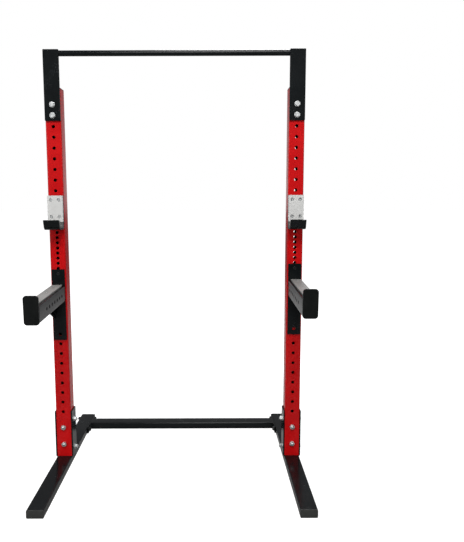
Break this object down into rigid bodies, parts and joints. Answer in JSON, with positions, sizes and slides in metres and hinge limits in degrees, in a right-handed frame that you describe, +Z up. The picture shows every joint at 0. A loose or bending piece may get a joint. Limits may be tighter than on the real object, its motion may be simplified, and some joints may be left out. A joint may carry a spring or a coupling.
{
  "type": "half rack",
  "caption": "Free-standing two-upright lifting rack on flat feet with drilled uprights, pull-up bar, bar cups and forward spotter arms.",
  "frame": {"origin": "on the floor at the middle of the footprint", "axes": "+Z up, +X to the right across the two uprights, +Y to the rear; the arms and cups face -Y"},
  "size_m": [1.279, 1.1, 2.052],
  "materials": {
    "red_powder_coat": "gloss powder coat with a light orange peel",
    "black_powder_coat": "satin to gloss powder coat, lightly scuffed",
    "zinc_plated_steel": "bright zinc plate",
    "black_oxide_steel": "black oxide, oiled",
    "white_liner_plastic": "milled wear plastic",
    "grey_liner_plastic": "sawn wear plastic",
    "dark_liner_plastic": "milled wear plastic",
    "black_cap_plastic": "moulded",
    "black_stop_plastic": "moulded, satin"
  },
  "bodies": {
    "frame": {"left_upright": "red_powder_coat", "right_upright": "red_powder_coat", "left_upright_cap": "black_cap_plastic", "right_upright_cap": "black_cap_plastic", "left_foot": "black_powder_coat", "right_foot": "black_powder_coat", "left_foot_front_cap": "black_cap_plastic", "right_foot_front_cap": "black_cap_plastic", "left_foot_rear_cap": "black_cap_plastic", "right_foot_rear_cap": "black_cap_plastic", "left_base_bracket": "black_powder_coat", "right_base_bracket": "black_powder_coat", "rear_crossmember": "black_powder_coat", "left_crossmember_flange": "black_powder_coat", "right_crossmember_flange": "black_powder_coat", "left_end_plate": "black_powder_coat", "right_end_plate": "black_powder_coat", "pull_up_bar": "black_powder_coat", "base_bolts": "zinc_plated_steel", "base_nuts": "zinc_plated_steel", "base_washers": "zinc_plated_steel", "side_bolts": "zinc_plated_steel", "side_nuts": "zinc_plated_steel", "side_washers": "zinc_plated_steel", "crossmember_bolts": "black_oxide_steel", "crossmember_nuts": "black_oxide_steel", "crossmember_washers": "black_oxide_steel", "top_bolts": "zinc_plated_steel", "top_nuts": "zinc_plated_steel", "top_washers": "zinc_plated_steel"},
    "left_bar_cup": {"left_cup_bracket": "black_powder_coat", "left_cup_back_liner": "white_liner_plastic", "left_cup_seat_liner": "dark_liner_plastic", "left_cup_pin": "zinc_plated_steel", "left_cup_screws": "zinc_plated_steel"},
    "right_bar_cup": {"right_cup_bracket": "black_powder_coat", "right_cup_back_liner": "white_liner_plastic", "right_cup_seat_liner": "dark_liner_plastic", "right_cup_pin": "zinc_plated_steel", "right_cup_screws": "zinc_plated_steel"},
    "left_spotter_arm": {"left_arm_plate": "black_powder_coat", "left_arm_tube": "black_powder_coat", "left_arm_end_plate": "black_stop_plastic", "left_arm_liner": "grey_liner_plastic", "left_arm_gusset": "black_powder_coat", "left_arm_pin": "black_oxide_steel", "left_arm_screws": "zinc_plated_steel"},
    "right_spotter_arm": {"right_arm_plate": "black_powder_coat", "right_arm_tube": "black_powder_coat", "right_arm_end_plate": "black_stop_plastic", "right_arm_liner": "grey_liner_plastic", "right_arm_gusset": "black_powder_coat", "right_arm_pin": "black_oxide_steel", "right_arm_screws": "zinc_plated_steel"}
  },
  "joints": [
    {"name": "left_bar_cup_pull_off", "type": "slide", "parent": "frame", "child": "left_bar_cup", "axis": [0, -1, 0], "range_m": [0, 0.12]},
    {"name": "right_bar_cup_pull_off", "type": "slide", "parent": "frame", "child": "right_bar_cup", "axis": [0, -1, 0], "range_m": [0, 0.12]},
    {"name": "left_spotter_arm_pull_off", "type": "slide", "parent": "frame", "child": "left_spotter_arm", "axis": [0, -1, 0], "range_m": [0, 0.12]},
    {"name": "right_spotter_arm_pull_off", "type": "slide", "parent": "frame", "child": "right_spotter_arm", "axis": [0, -1, 0], "range_m": [0, 0.12]}
  ]
}
